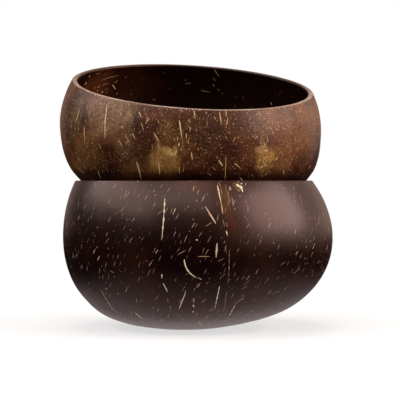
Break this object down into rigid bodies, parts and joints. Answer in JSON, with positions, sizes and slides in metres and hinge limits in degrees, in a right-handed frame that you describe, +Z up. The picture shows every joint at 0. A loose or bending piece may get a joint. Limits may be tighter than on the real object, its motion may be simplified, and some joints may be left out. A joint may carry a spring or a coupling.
{
  "type": "nested coconut shell bowls",
  "caption": "Polished coconut shell bowl with a flat foot, carrying a like shell bowl that leans in its mouth and lifts out.",
  "frame": {"origin": "centre of the lower bowl's flat foot, on the surface that it stands on", "axes": "+Z up, -Y towards the front, where the upper bowl leans, and +X to the right seen from the front"},
  "size_m": [0.138, 0.1402, 0.1389],
  "materials": {
    "dark_shell": "polished coconut shell, near-black brown with short pale fibres",
    "brown_shell": "polished coconut shell, mottled mid brown with pale fibres"
  },
  "bodies": {
    "lower": {"lower_bowl": "dark_shell"},
    "upper": {"upper_bowl": "brown_shell"}
  },
  "joints": [
    {"name": "upper_lift", "type": "slide", "parent": "lower", "child": "upper", "axis": [0, 0, 1], "range_m": [0, 0.1]}
  ]
}
